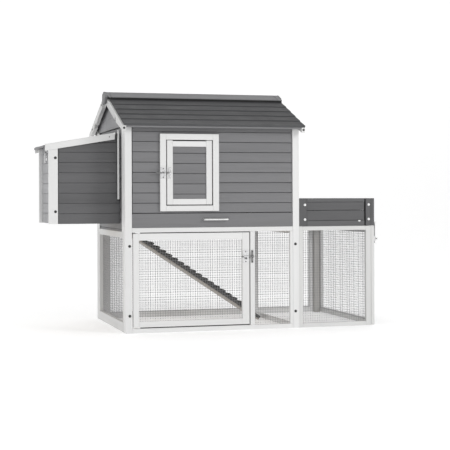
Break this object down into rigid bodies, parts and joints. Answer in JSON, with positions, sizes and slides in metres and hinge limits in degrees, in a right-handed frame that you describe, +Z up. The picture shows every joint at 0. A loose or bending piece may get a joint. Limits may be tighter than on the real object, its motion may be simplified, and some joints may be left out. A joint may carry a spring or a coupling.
{
  "type": "chicken coop",
  "caption": "Raised timber hen house with a gable roof over a wire-mesh run, a side nest box with a lifting lid, a planter box, a ramp, a pull-out tray and hinged doors.",
  "frame": {"origin": "the middle of the whole coop's bounding box, on the ground", "axes": "+X along the length, from the nest box to the planter; +Y from the front (doors) to the back; +Z up"},
  "size_m": [1.9544, 1.0168, 1.3901],
  "materials": {
    "white_paint": "satin white paint on softwood",
    "wall_paint": "satin mid-grey paint on softwood clapboards",
    "roof_paint": "matt charcoal paint on softwood boards",
    "planter_paint": "matt dark-grey paint on softwood",
    "bare_wood": "bare softwood, pale",
    "wire_mesh": "galvanised welded wire mesh",
    "zinc": "bright zinc plate",
    "aluminium": "satin aluminium",
    "tray_metal": "galvanised sheet",
    "dark_cap": "moulded screw cap",
    "white_cap": "moulded screw cap",
    "cleat_wood": "dark-stained softwood"
  },
  "bodies": {
    "root": {"post_front_left": "white_paint", "post_rear_left": "white_paint", "post_front_mid": "white_paint", "post_rear_mid": "white_paint", "post_rear_right": "white_paint", "run_front_frame": "white_paint", "run_left_frame": "white_paint", "run_rear_frame": "white_paint", "planter_front_frame": "white_paint", "planter_rear_frame": "white_paint", "passage_frame": "white_paint", "house_door_surround": "white_paint", "barge_left": "white_paint", "barge_right": "white_paint", "nest_stile_front": "white_paint", "nest_stile_rear": "white_paint", "wall_front": "wall_paint", "wall_left": "wall_paint", "wall_right": "wall_paint", "wall_rear": "wall_paint", "gable_left": "wall_paint", "gable_right": "wall_paint", "nest_wall_front": "wall_paint", "nest_wall_rear": "wall_paint", "nest_wall_outer": "wall_paint", "roof_front": "roof_paint", "roof_rear": "roof_paint", "ridge_cap": "roof_paint", "planter_box": "planter_paint", "house_floor": "bare_wood", "nest_floor": "bare_wood", "mesh_run_front": "wire_mesh", "mesh_run_left": "wire_mesh", "mesh_run_rear": "wire_mesh", "mesh_planter_front": "wire_mesh", "mesh_planter_rear": "wire_mesh", "run_bolt_keeper": "zinc", "side_bolt_keeper": "zinc", "house_bolt_body": "zinc"},
    "run_door": {"run_door_frame": "white_paint", "run_door_mesh": "wire_mesh", "run_bolt_body": "zinc"},
    "run_bolt": {"run_bolt_rod": "zinc"},
    "side_door": {"side_door_frame": "white_paint", "side_door_mesh": "wire_mesh", "side_bolt_body": "zinc"},
    "side_bolt": {"side_bolt_rod": "zinc"},
    "house_door": {"house_door_frame": "white_paint", "house_door_panel": "wall_paint", "house_bolt_keeper": "zinc"},
    "house_bolt": {"house_bolt_rod": "zinc"},
    "nest_lid": {"nest_lid": "roof_paint", "lid_trim_front": "white_paint", "lid_trim_rear": "white_paint"},
    "nest_latch": {"nest_latch_lever": "zinc"},
    "lid_prop": {"lid_prop": "white_paint"},
    "tray": {"tray_front": "wall_paint", "tray_pan": "tray_metal", "tray_handle": "aluminium"},
    "ramp": {"ramp": "bare_wood"}
  },
  "joints": [
    {"name": "run_door_swing", "type": "hinge", "parent": "root", "child": "run_door", "pos_m": [-0.48915, -0.4405, 0.296], "axis": [0, 0, -1], "range_deg": [0, 110]},
    {"name": "run_bolt_slide", "type": "slide", "parent": "run_door", "child": "run_bolt", "axis": [-1, 0, 0], "range_m": [0, 0.024]},
    {"name": "side_door_swing", "type": "hinge", "parent": "root", "child": "side_door", "pos_m": [0.93215, 0.455, 0.295], "axis": [0, 0, 1], "range_deg": [0, 110]},
    {"name": "side_bolt_slide", "type": "slide", "parent": "side_door", "child": "side_bolt", "axis": [0, 0, -1], "range_m": [0, 0.026]},
    {"name": "house_door_swing", "type": "hinge", "parent": "root", "child": "house_door", "pos_m": [-0.05165, -0.453, 0.901], "axis": [0, 0, 1], "range_deg": [0, 110]},
    {"name": "house_bolt_slide", "type": "slide", "parent": "root", "child": "house_bolt", "axis": [-1, 0, 0], "range_m": [0, 0.027]},
    {"name": "nest_lid_lift", "type": "hinge", "parent": "root", "child": "nest_lid", "pos_m": [-0.57315, -0.0745, 1.128], "axis": [0, 1, 0], "range_deg": [0, 75]},
    {"name": "nest_latch_lever_turn", "type": "hinge", "parent": "root", "child": "nest_latch", "pos_m": [-0.93765, -0.0745, 0.965], "axis": [0, -1, 0], "range_deg": [0, 120]},
    {"name": "lid_prop_swing", "type": "hinge", "parent": "root", "child": "lid_prop", "pos_m": [-0.55815, -0.321, 1.132], "axis": [0, 1, 0], "range_deg": [0, 120]},
    {"name": "tray_pull", "type": "slide", "parent": "root", "child": "tray", "axis": [0, -1, 0], "range_m": [0, 0.6]},
    {"name": "ramp_lift", "type": "hinge", "parent": "root", "child": "ramp", "pos_m": [-0.44315, 0.123, 0.578], "axis": [0, -1, 0], "range_deg": [0, 28]}
  ]
}
